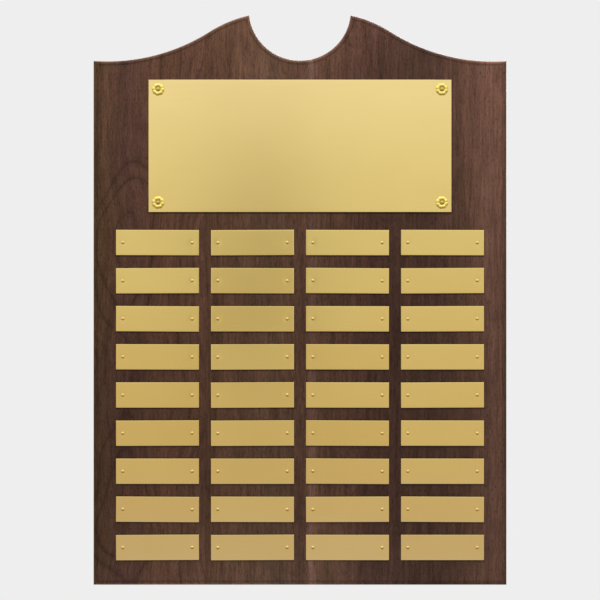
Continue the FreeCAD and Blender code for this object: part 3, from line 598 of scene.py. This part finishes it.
def make_title_plate():
    """The large blank plate, pushed back a hair under its four rosettes."""
    low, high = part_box("title_plate")
    across = spaced(low.x + PLATE_BEVEL, high.x - PLATE_BEVEL, 64)
    upright = spaced(low.z + PLATE_BEVEL, high.z - PLATE_BEVEL, 28)
    sides = (low.x + ROSETTE_INSET, high.x - ROSETTE_INSET)
    ends = (low.z + ROSETTE_INSET, high.z - ROSETTE_INSET)
    centres = [(x, z) for x in sides for z in ends]

    def dent(x, z):
        """How far the sheet is pushed back at a place, near the rosettes."""
        reach = TITLE_DENT_REACH ** 2
        return sum(TITLE_DENT_DEPTH * math.exp(-((x - a) ** 2 + (z - b) ** 2) / reach) for a, b in centres)

    plate = sheet_plate("brass_title_plate", across, upright, high.y - low.y, dent)
    plate.data.transform(matrix_move(0, high.y, 0))
    settle(plate)
    brass = brushed_brass("brushed_brass_title", "#F1D996", "#ECD28F", 3.0)
    finish(plate, brass, "title_brass", "title_plate")


def matrix_move(x, y, z):
    """A plain shift, for a mesh."""
    return Matrix.Translation((x, y, z))


# ---- copies on a grid ----

def copies_tree():
    """Copies of one piece on an upright grid, each turned and toned a little by chance."""
    tree = bpy.data.node_groups.new("copies_on_grid", "GeometryNodeTree")
    sockets = [("Piece", "NodeSocketObject"), ("Columns", "NodeSocketInt"), ("Rows", "NodeSocketInt"),
               ("Width", "NodeSocketFloat"), ("Height", "NodeSocketFloat"), ("Centre", "NodeSocketVector"),
               ("Turn", "NodeSocketVector"), ("Tone", "NodeSocketFloat"), ("Seed", "NodeSocketInt"),
               ("Finish", "NodeSocketMaterial")]
    for name, kind in sockets:
        tree.interface.new_socket(name, in_out="INPUT", socket_type=kind)
    tree.interface.new_socket("Geometry", in_out="OUTPUT", socket_type="NodeSocketGeometry")
    given = node(tree, "NodeGroupInput").outputs

    # a turn and a tone for each copy, between minus and plus the extent given, the same on each run
    turn_seed = node(tree, "ShaderNodeMath", {0: given["Seed"], 1: 2}, operation="ADD")
    least_turn = node(tree, "ShaderNodeVectorMath", {0: given["Turn"], 1: (-1.0, -1.0, -1.0)},
                      operation="MULTIPLY")
    turn = node(tree, "FunctionNodeRandomValue", {
        0: least_turn.outputs[0], 1: given["Turn"], "Seed": turn_seed.outputs[0]}, data_type="FLOAT_VECTOR")
    turn = node(tree, "FunctionNodeEulerToRotation", {0: turn.outputs[0]})
    tone_seed = node(tree, "ShaderNodeMath", {0: given["Seed"], 1: 3}, operation="ADD")
    least_tone = node(tree, "ShaderNodeMath", {0: given["Tone"], 1: -1.0}, operation="MULTIPLY")
    tone = node(tree, "FunctionNodeRandomValue", {
        2: least_tone.outputs[0], 3: given["Tone"], "Seed": tone_seed.outputs[0]}, data_type="FLOAT")

    grid = node(tree, "GeometryNodeMeshGrid", {
        "Size X": given["Width"], "Size Y": given["Height"],
        "Vertices X": given["Columns"], "Vertices Y": given["Rows"]})
    upright = node(tree, "GeometryNodeTransform", {
        "Geometry": grid.outputs[0], "Translation": given["Centre"], "Rotation": (math.pi / 2, 0.0, 0.0)})
    piece = node(tree, "GeometryNodeObjectInfo", {"Object": given["Piece"]})
    copies = node(tree, "GeometryNodeInstanceOnPoints", {
        "Points": upright.outputs[0], "Instance": piece.outputs["Geometry"], "Rotation": turn.outputs[0]})
    toned = node(tree, "GeometryNodeStoreNamedAttribute", {
        "Geometry": copies.outputs[0], "Name": "tone", "Value": tone.outputs[1]},
        data_type="FLOAT", domain="INSTANCE")
    real = node(tree, "GeometryNodeRealizeInstances", {"Geometry": toned.outputs[0]})
    painted = node(tree, "GeometryNodeSetMaterial", {
        "Geometry": real.outputs[0], "Material": given["Finish"]})
    node(tree, "NodeGroupOutput", {0: painted.outputs[0]})
    return tree


COPIES = copies_tree()


def spread_copies(name, piece, columns, rows, centres, material, seed, turn, tone=0.0):
    """One mesh of copies of a piece, on a grid between the lowest and highest of the given centres.

    Turn is the most that a copy tilts about each axis, and tone how far its colour may drift.
    """
    low = Vector([min(c[i] for c in centres) for i in range(3)])
    high = Vector([max(c[i] for c in centres) for i in range(3)])
    carrier = bpy.data.objects.new(name, bpy.data.meshes.new(name))
    bpy.context.scene.collection.objects.link(carrier)
    modifier = carrier.modifiers.new("copies", "NODES")
    modifier.node_group = COPIES
    values = {"Piece": piece, "Columns": columns, "Rows": rows,
              "Width": high.x - low.x, "Height": high.z - low.z, "Centre": (low + high) / 2,
              "Turn": turn, "Tone": tone, "Seed": seed, "Finish": material}
    for socket in COPIES.interface.items_tree:
        if socket.in_out == "INPUT":
            modifier[socket.identifier] = values[socket.name]
    graph = bpy.context.evaluated_depsgraph_get()
    graph.update()
    mesh = bpy.data.meshes.new_from_object(carrier.evaluated_get(graph), preserve_all_data_layers=True,
                                           depsgraph=graph)
    carrier.modifiers.clear()
    carrier.data = mesh
    bpy.data.objects.remove(piece)
    return carrier


def centre_of(node_name):
    """The middle of a node's box."""
    low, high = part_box(node_name)
    return (low + high) / 2


def name_plate_nodes():
    """The name plates' nodes, row by row from the top."""
    places = [(row, column) for row in range(1, ROWS + 1) for column in range(1, COLUMNS + 1)]
    return [f"name_plate_row_{row}_column_{column}" for row, column in places]


def make_name_plates():
    """The blank name plates, each tilted a little its own way and dented by its two pins."""
    names = name_plate_nodes()
    low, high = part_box(names[0])
    half_width = (high.x - low.x) / 2 - PLATE_BEVEL
    half_height = (high.z - low.z) / 2 - PLATE_BEVEL
    # the grid is finer near the pins, within this far of each end
    near = 12 * MM
    across = spaced(-half_width, near - half_width, 12)
    across += spaced(near - half_width, half_width - near, 8)[1:]
    across += spaced(half_width - near, half_width, 12)[1:]
    upright = spaced(-half_height, half_height, 14)
    pin_x = (high.x - low.x) / 2 - PIN_INSET

    def dent(x, z):
        """How far the sheet is pushed back at a place, near the pins."""
        return DENT_DEPTH * math.exp(-((abs(x) - pin_x) ** 2 + z ** 2) / DENT_REACH ** 2)

    plate = sheet_plate("name_plate", across, upright, high.y - low.y, dent)
    settle(plate)
    centres = [Vector((c.x, high.y, c.z)) for c in map(centre_of, names)]
    brass = brushed_brass("brushed_brass_names", "#ECD591", "#E6CC86", 5.0)
    copies = spread_copies("brass_name_plates", plate, COLUMNS, ROWS, centres, brass, PLATE_SEED,
                           PLATE_TILT, tone=0.22)
    finish(copies, brass, "name_brass", *names)


def make_pins():
    """Two escutcheon pins to each name plate, standing on it and tilted with it."""
    names = name_plate_nodes()
    low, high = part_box(names[0])
    pin_x = (high.x - low.x) / 2 - PIN_INSET
    pins = round_head(PIN_HEAD_RADIUS, PIN_HEAD_HEIGHT, PIN_SHANK_RADIUS, "pin_pair")
    pair = bmesh.new()
    for side in (-1, 1):
        pin = pins.data.copy()
        pin.transform(matrix_move(side * pin_x, 0, 0))
        pair.from_mesh(pin)
    pair.to_mesh(pins.data)
    pair.free()
    settle(pins)
    centres = [Vector((c.x, low.y, c.z)) for c in map(centre_of, names)]
    # cold-headed brass wire: small bright domes
    brass = formed_metal("headed_brass_pins", "#EBD38A", "#CFAE62", 0.25, 1.2 * MM)
    made = spread_copies("escutcheon_pins", pins, COLUMNS, ROWS, centres, brass, PLATE_SEED, PLATE_TILT)
    columns = [f"name_plate_pins_column_{column}" for column in range(1, COLUMNS + 1)]
    finish(made, brass, "pin_brass", *columns)


def circle(radius, steps):
    """A circle's outline about the origin, anticlockwise, each point once."""
    return arc((0, 0), radius, 0, 2 * math.pi, steps)[:-1]


def round_head(radius, height, shank, name, steps=16):
    """A round-headed pin or nail: its head stands on y = 0 and its shank goes back into the wood."""
    loops = [(circle(POINT_RADIUS, steps), SHANK_SHOWN + POINT_LENGTH), (circle(shank, steps), SHANK_SHOWN),
             (circle(shank, steps), 0.0), (circle(radius * 0.97, steps), 0.0)]
    for step in range(HEAD_STEPS):
        turn = math.pi / 2 * step / HEAD_STEPS
        loops.append((circle(radius * math.cos(turn), steps), -height * (0.1 + 0.9 * math.sin(turn))))
    loops.append((circle(radius * 0.08, steps), -height))
    return loft(loops, name)


# ---- rosettes ----

def rosette_centres():
    """The rosettes' nodes, and the middle of each on the title plate's face."""
    corners = [f"rosette_{end}_{side}" for end in ("top", "bottom") for side in ("left", "right")]
    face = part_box(corners[0])[1].y
    return corners, [Vector((c.x, face, c.z)) for c in map(centre_of, corners)]


def make_rosettes():
    """Four stamped flowers, each with eight cupped petals round a seat for its nail."""
    corners, centres = rosette_centres()
    low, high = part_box(corners[0])
    height = high.y - low.y
    count = PETALS * PETAL_STEPS
    # share of the radius, share of the height, how deep the creases between petals cut there
    profile = [(0.30, 0.0, 0.0), (0.93, 0.0, 0.6), (0.99, 0.10, 1.0), (1.0, 0.28, 1.0), (0.96, 0.55, 1.0),
               (0.88, 0.80, 0.9), (0.78, 0.95, 0.8), (0.68, 1.0, 0.7), (0.58, 0.96, 0.5), (0.50, 0.87, 0.3),
               (0.43, 0.75, 0.1), (0.38, 0.64, 0.0), (0.35, 0.352, 0.0), (0.05, 0.352, 0.0)]
    loops = []
    for share, rise, crease in profile:
        outline = []
        levels = []
        for i in range(count):
            turn = 2 * math.pi * i / count
            between = abs((i % PETAL_STEPS) / PETAL_STEPS - 0.5) * 2
            groove = max(0.0, between - CREASE_START) / (1 - CREASE_START)
            radius = ROSETTE_RADIUS * share * (1 - CREASE_IN * crease * groove ** 2)
            outline.append((radius * math.cos(turn), radius * math.sin(turn)))
            levels.append(-height * rise * (1 - CREASE_DOWN * crease * groove ** 1.5))
        loops.append((outline, levels))
    flower = loft(loops, "flower")
    settle(flower, 50)
    # thin brass pressed in a die: a bright, rather yellow flower
    brass = formed_metal("stamped_bright_brass", "#FBEA8A", "#EDD869", 0.36, 1.6 * MM)
    turn = (math.radians(1.5), math.radians(180), math.radians(1.5))
    made = spread_copies("stamped_rosettes", flower, 2, 2, centres, brass, ROSETTE_SEED, turn)
    finish(made, brass, "rosette_brass", *corners)


def make_rosette_nails():
    """A domed nail through the middle of each rosette."""
    nail = round_head(NAIL_HEAD_RADIUS, NAIL_HEAD_HEIGHT, NAIL_SHANK_RADIUS, "nail", 24)
    settle(nail)
    seats = [Vector((c.x, c.y - ROSETTE_SEAT, c.z)) for c in rosette_centres()[1]]
    # cold-headed copper alloy wire: a polished dome, redder than the brass round it
    copper = formed_metal("headed_copper_alloy_nails", "#DCC282", "#B4965E", 0.3, 1.0 * MM)
    turn = (math.radians(4), 0, math.radians(4))
    made = spread_copies("rosette_nails_domed", nail, 2, 2, seats, copper, NAIL_SEED, turn)
    finish(made, copper, "nail_copper", "rosette_nails")


# ---- hangers ----

def keyhole(x, z, slack=0.0):
    """The keyhole's outline, anticlockwise: a round entry with a round-ended slot above it."""
    half = SLOT_HALF_WIDTH + slack
    radius = ENTRY_RADIUS + slack
    meet = math.asin(half / radius)
    entry = arc((x, z), radius, math.pi / 2 + meet, 2.5 * math.pi - meet, 36)
    slot = arc((x, z + SLOT_TRAVEL), half, 0, math.pi, 16)
    return entry + slot


def make_hangers():
    """A zinc-plated strip on each side of the back, with its keyhole and two countersunk holes."""
    # zinc-plated strip, sheared and punched: cool grey, softly mottled
    steel = formed_metal("zinc_plated_steel_strip", "#A6A9AB", "#8A8E91", 0.34, 2.2 * MM)
    for side, x, z in hanger_places():
        low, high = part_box("keyhole_hanger_" + side)
        shoulder = high.y - HANGER_ARRIS
        outline = round_ended((high.x - low.x) / 2, z - SCREW_BELOW, z + SCREW_ABOVE, x, 28)
        eased = 0.3 * HANGER_ARRIS
        strip = loft([(outline, low.y), (outline, shoulder), (inset(outline, eased), high.y - eased),
                      (inset(outline, HANGER_ARRIS), high.y)], "steel_hanger_" + side)
        hole = keyhole(x, z)
        wide = keyhole(x, z, HANGER_ARRIS)
        cut(strip, loft([(hole, low.y - CUT_PAST), (hole, shoulder), (wide, high.y),
                         (wide, high.y + CUT_PAST)], "hole"))
        for level in (z - SCREW_BELOW, z + SCREW_ABOVE):
            cut(strip, countersink(x, level, low.y, high.y))
        settle(strip)
        finish(strip, steel, "hanger_steel", "keyhole_hanger_" + side)


def countersink(x, z, back, face):
    """A cutter for one screw's hole: its shank's clearance, opening to its head at the face."""
    sink = []
    for radius, y in ((SCREW_SHANK_RADIUS, back - CUT_PAST), (SCREW_SHANK_RADIUS, face - SCREW_HEAD_HEIGHT),
                      (SCREW_HEAD_RADIUS, face), (SCREW_HEAD_RADIUS, face + CUT_PAST)):
        grown = radius + SINK_CLEARANCE
        sink.append(([(x + grown * a, z + grown * b) for a, b in circle(1.0, 32)], y))
    return loft(sink, "sink")


def make_hanger_screws():
    """Four flat-headed screws with cross recesses, flush with the hangers."""
    screw = loft([(circle(0.3 * MM, 32), -SCREW_LENGTH),
                  (circle(SCREW_SHANK_RADIUS, 32), SCREW_POINT - SCREW_LENGTH),
                  (circle(SCREW_SHANK_RADIUS, 32), -SCREW_HEAD_HEIGHT),
                  (circle(SCREW_HEAD_RADIUS, 32), -0.15 * MM),
                  (circle(SCREW_HEAD_RADIUS - SCREW_ARRIS, 32), 0.0)], "screw")
    for width, length in ((RECESS_WIDTH, RECESS_LENGTH), (RECESS_LENGTH, RECESS_WIDTH)):
        a, b = width / 2, length / 2
        bar = [(-a, -b), (a, -b), (a, b), (-a, b)]
        tapered = [(0.55 * p, 0.55 * q) for p, q in bar]
        cut(screw, loft([(tapered, -RECESS_DEPTH), (bar, 0.0), (bar, CUT_PAST)], "bar"))
    settle(screw)
    # zinc-plated wire, headed and rolled: paler and brighter than the strip
    zinc = formed_metal("zinc_plated_screw_steel", "#B0B1AE", "#85867F", 0.28, 1.5 * MM)
    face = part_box("keyhole_hanger_left")[1].y
    rises = (-SCREW_BELOW, SCREW_ABOVE)
    centres = [Vector((x, face, z + rise)) for _, x, z in hanger_places() for rise in rises]
    turn = (0, math.radians(40), 0)
    made = spread_copies("hanger_screws_cross_head", screw, 2, 2, centres, zinc, SCREW_SEED, turn)
    finish(made, zinc, "screw_steel", "hanger_screws")


# ---- stage, light and camera ----

def make_stage():
    """A pale floor well below the hung plaque."""
    shell = bmesh.new()
    bmesh.ops.create_grid(shell, x_segments=8, y_segments=8, size=1.4)
    floor = to_object(shell, "floor")
    floor.data.transform(matrix_move(0, 0, cad_low.z - FLOOR_DROP))
    material, tree, shader, place = new_material("matt_pale_floor")
    cloud = node(tree, "ShaderNodeTexNoise", {"Vector": place, "Scale": 3.0, "Detail": 3.0})
    colour = node(tree, "ShaderNodeMix", {0: cloud.outputs[0], 6: linear("#9A9996"), 7: linear("#A2A19E")},
                  data_type="RGBA")
    tree.links.new(colour.outputs[2], shader.inputs["Base Color"])
    shader.inputs["Roughness"].default_value = 0.9
    floor.data.materials.append(material)
    floor.visible_glossy = False


def make_world():
    """Pale background, and soft studio light that is brighter above than below."""
    world = bpy.data.worlds.new("studio")
    bpy.context.scene.world = world
    world.use_nodes = True
    tree = world.node_tree
    tree.nodes.clear()
    way = node(tree, "ShaderNodeTexCoord").outputs["Generated"]
    axes = node(tree, "ShaderNodeSeparateXYZ", {"Vector": way}).outputs
    # from the grey floor, up the wall's pale foot and its warmer middle, to the white ceiling
    level = node(tree, "ShaderNodeMapRange", {"Value": axes["Z"], "From Min": -0.5, "From Max": 0.5})
    light = node(tree, "ShaderNodeValToRGB", {"Fac": level.outputs[0]},
                 stops=[(0.0, "#9C9283"), (0.16, "#ABA294"), (0.25, "#E6E3E2"), (0.34, "#D3C9CF"),
                        (0.4, "#DACBAD"), (0.49, "#E3DABF"), (0.53, "#EAE6CF"), (0.56, "#E9E4CB"),
                        (0.6, "#F7F6E7"), (0.625, "#FFFFFF")])

    # a soft darker column straight ahead, where someone stands to look at the plaque
    off = node(tree, "ShaderNodeMath", {0: axes["X"], 1: 0.025}, operation="ADD").outputs[0]
    off = node(tree, "ShaderNodeMath", {0: off}, operation="ABSOLUTE").outputs[0]
    column = node(tree, "ShaderNodeMapRange", {
        "Value": off, "From Min": 0.0, "From Max": 0.055, "To Min": 1.0, "To Max": 0.0},
        interpolation_type="SMOOTHSTEP")
    depth = node(tree, "ShaderNodeValToRGB", {"Fac": level.outputs[0]},
                 stops=[(0.35, 0.0), (0.45, 0.45), (0.5, 1.0), (0.55, 1.0), (0.61, 0.4), (0.64, 0.0)])
    ahead = node(tree, "ShaderNodeMath", {0: axes["Y"], 1: 0.0}, operation="LESS_THAN").outputs[0]
    shade = node(tree, "ShaderNodeMath", {0: column.outputs[0], 1: depth.outputs[0]},
                 operation="MULTIPLY").outputs[0]
    shade = node(tree, "ShaderNodeMath", {0: shade, 1: ahead}, operation="MULTIPLY").outputs[0]
    shade = node(tree, "ShaderNodeMath", {0: shade, 1: -0.34, 2: 1.0}, operation="MULTIPLY_ADD").outputs[0]
    soft = node(tree, "ShaderNodeMix", {0: 1.0, 6: light.outputs[0], 7: shade}, data_type="RGBA",
                blend_type="MULTIPLY")

    # matt surfaces are lit mostly by the soft boxes, polished ones mirror the whole studio
    seen = node(tree, "ShaderNodeLightPath").outputs
    power = node(tree, "ShaderNodeMapRange", {
        "Value": seen["Is Diffuse Ray"], "To Min": 1.0, "To Max": 0.16})
    ceiling = node(tree, "ShaderNodeMapRange", {
        "Value": axes["Z"], "From Min": 0.3, "From Max": 0.7, "To Min": 1.0, "To Max": 1.6})
    power = node(tree, "ShaderNodeMath", {0: power.outputs[0], 1: ceiling.outputs[0]}, operation="MULTIPLY")
    studio = node(tree, "ShaderNodeBackground", {"Color": soft.outputs[2], "Strength": power.outputs[0]})
    backdrop = node(tree, "ShaderNodeBackground", {"Color": linear("#EEEEEE"), "Strength": 1.0})
    mixed = node(tree, "ShaderNodeMixShader", {
        0: seen["Is Camera Ray"], 1: studio.outputs[0], 2: backdrop.outputs[0]})
    node(tree, "ShaderNodeOutputWorld", {"Surface": mixed.outputs[0]})


def add_light(name, place, size, power, aim, mirrored=False):
    """A white soft box at one place, aimed at another. Mirrored says whether the metal reflects it."""
    lamp = bpy.data.lights.new(name, "AREA")
    lamp.shape = "RECTANGLE"
    lamp.size, lamp.size_y = size
    lamp.energy = power
    made = bpy.data.objects.new(name, lamp)
    made.location = place
    made.rotation_euler = (Vector(aim) - Vector(place)).to_track_quat("-Z", "Y").to_euler()
    bpy.context.scene.collection.objects.link(made)
    made.visible_camera = False
    made.visible_glossy = mirrored


def make_lights():
    """Overhead light that grazes the face, a fill from the left and from below, and one behind."""
    upper_face = (0, 0, 0.1)
    add_light("overhead_soft_box", (0.05, -0.36, 0.78), (0.9, 0.3), 50, upper_face)
    add_light("left_soft_box", (-1.0, -0.3, 0.30), (0.5, 0.5), 15, upper_face)
    add_light("low_fill", (-0.08, -0.11, -0.40), (0.5, 0.15), 3.0, (0, 0, -0.2))
    add_light("rear_soft_box", (0.35, 0.9, 0.5), (0.8, 0.8), 32, (0, 0, 0), mirrored=True)


def make_camera():
    """A long lens level with the board's middle, square to its face."""
    data = bpy.data.cameras.new("camera")
    data.lens = LENS
    data.sensor_width = SENSOR_WIDTH
    camera = bpy.data.objects.new("camera", data)
    camera.location = (0, -CAMERA_DISTANCE, 0)
    camera.rotation_euler = (math.pi / 2, 0, 0)
    bpy.context.scene.collection.objects.link(camera)
    bpy.context.scene.camera = camera


make_staves()
make_title_plate()
make_name_plates()
make_pins()
make_rosettes()
make_rosette_nails()
make_hangers()
make_hanger_screws()
make_stage()
make_world()
make_lights()
make_camera()
bpy.context.scene.view_settings.view_transform = "Standard"
